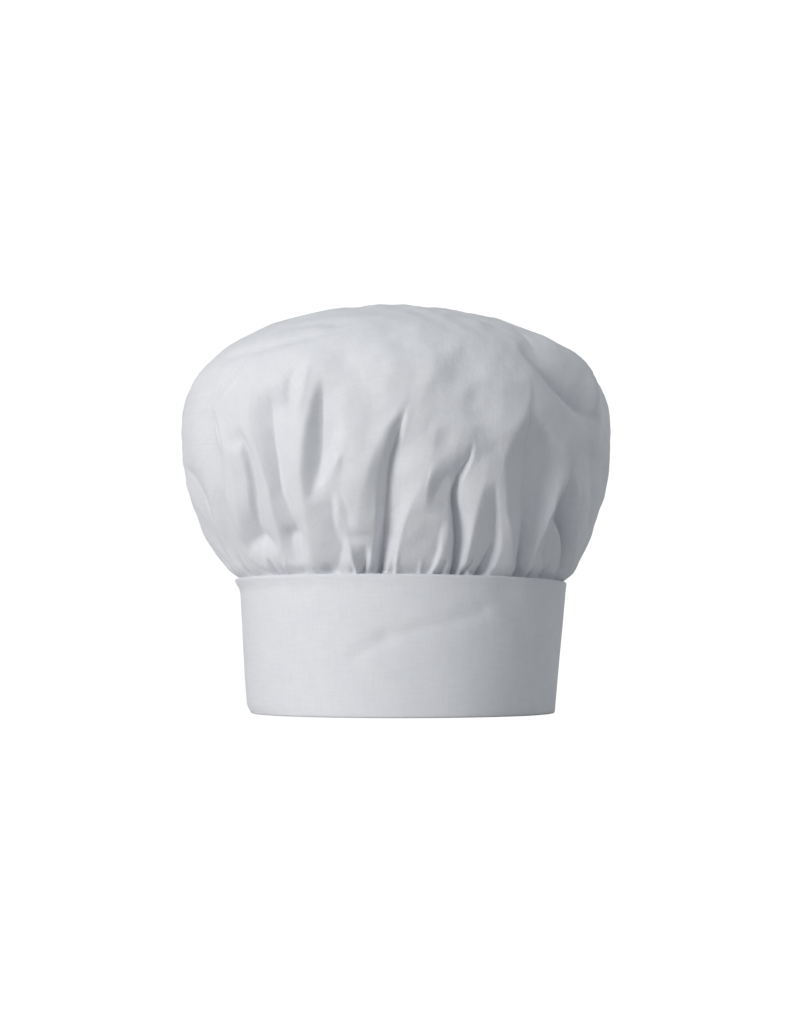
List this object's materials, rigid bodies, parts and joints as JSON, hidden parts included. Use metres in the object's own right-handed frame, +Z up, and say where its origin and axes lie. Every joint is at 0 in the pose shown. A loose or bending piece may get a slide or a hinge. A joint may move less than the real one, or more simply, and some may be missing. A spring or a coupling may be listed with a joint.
{
  "type": "chef hat",
  "caption": "Puffed cotton chef hat: a tall straight band with a full round crown gathered into its top edge, open below for the head.",
  "frame": {"origin": "on the surface that the band's lower edge rests on, under the middle of the hat", "axes": "+Z up through the crown, the hat's front towards -Y, the wearer's left-hand side towards +X"},
  "size_m": [0.2586, 0.2574, 0.2433],
  "materials": {
    "band_cotton": "white poly-cotton in plain weave, two layers, matt with a faint sheen",
    "crown_cotton": "thin white poly-cotton in plain weave, matt with a faint sheen"
  },
  "bodies": {
    "root": {"band": "band_cotton", "crown": "crown_cotton"}
  },
  "joints": []
}
